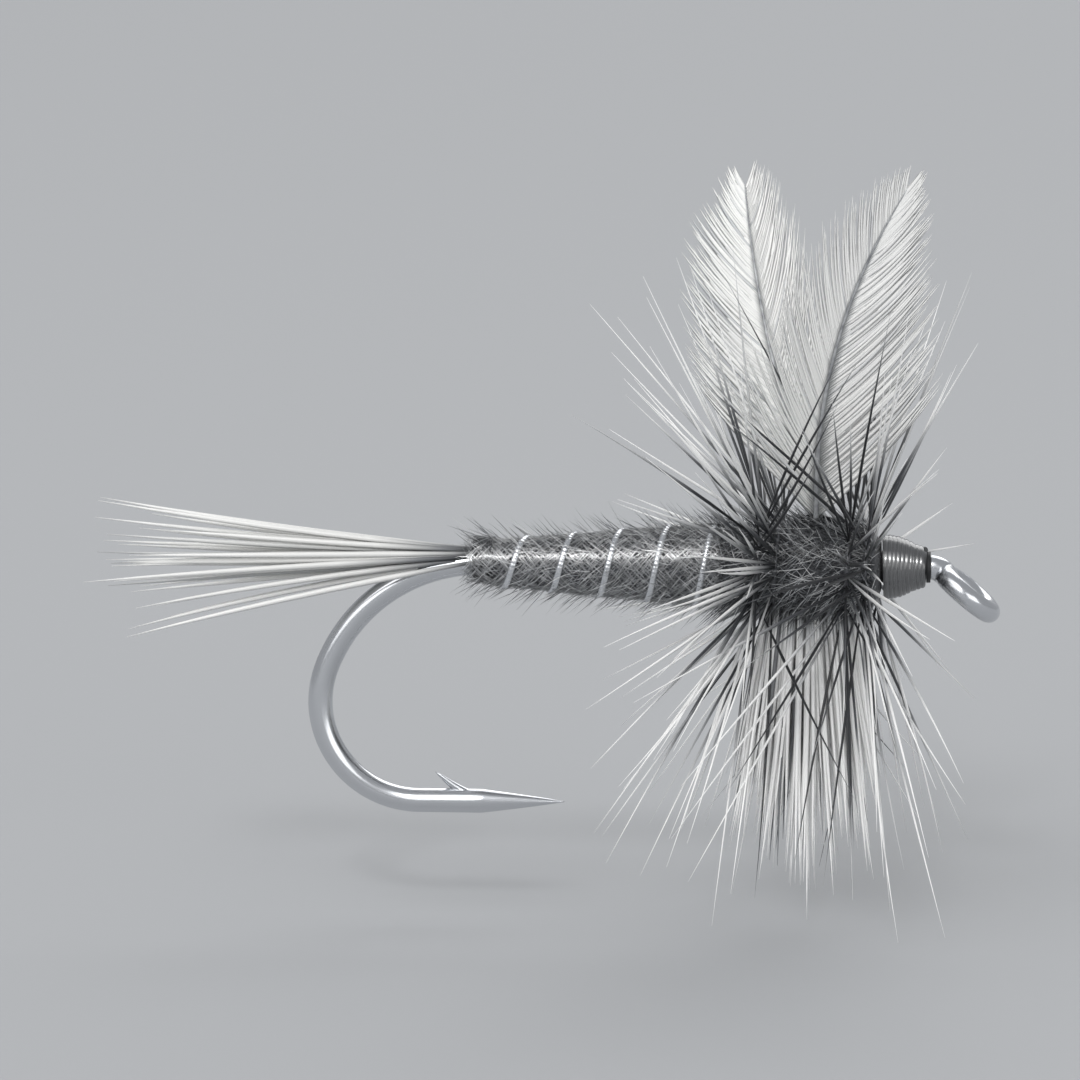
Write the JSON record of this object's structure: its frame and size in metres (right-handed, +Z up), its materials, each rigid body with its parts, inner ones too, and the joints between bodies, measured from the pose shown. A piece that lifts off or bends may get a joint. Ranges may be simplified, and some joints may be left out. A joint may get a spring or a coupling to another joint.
{
  "type": "dry fly",
  "caption": "Winged dry fly on a down-eyed, barbed hook: fanned tail, ribbed tapered body, two upright feather wings, wound hackle, throat and thread head. Floats as a fishing lure.",
  "frame": {"origin": "centre of the hook eye", "axes": "+X forward along the shank towards the eye, +Y to the fly's left, +Z up towards the wing tips"},
  "size_m": [0.0232, 0.0174, 0.0193],
  "materials": {
    "hook_steel": "bright nickel-plated carbon steel wire",
    "tying_thread": "waxed flat thread",
    "hackle_fibre": "stiff glossy feather barbs",
    "dubbing": "twisted fur dubbing",
    "silver_tinsel": "bright metal tinsel",
    "wing_quill": "feather stem, smooth",
    "wing_vane": "soft feather web",
    "head_cement": "clear head lacquer over dark thread"
  },
  "bodies": {
    "root": {"hook": "hook_steel", "thread_underbody": "tying_thread", "tail_fibres": "hackle_fibre", "tail_lashing": "tying_thread", "abdomen": "dubbing", "abdomen_guard_hairs": "dubbing", "rib_tinsel": "silver_tinsel", "rear_lashing": "tying_thread", "front_lashing": "tying_thread", "thorax": "dubbing", "left_wing_quill": "wing_quill", "left_wing_front_vane": "wing_vane", "left_wing_rear_vane": "wing_vane", "left_wing_post_wraps": "tying_thread", "right_wing_quill": "wing_quill", "right_wing_front_vane": "wing_vane", "right_wing_rear_vane": "wing_vane", "right_wing_post_wraps": "tying_thread", "figure_eight_wraps": "tying_thread", "rear_hackle_stem": "wing_quill", "rear_hackle_barbs": "hackle_fibre", "front_hackle_stem": "wing_quill", "front_hackle_barbs": "hackle_fibre", "throat_fibres": "hackle_fibre", "head_thread_wraps": "tying_thread", "whip_finish": "tying_thread", "head_cement": "head_cement"}
  },
  "joints": []
}
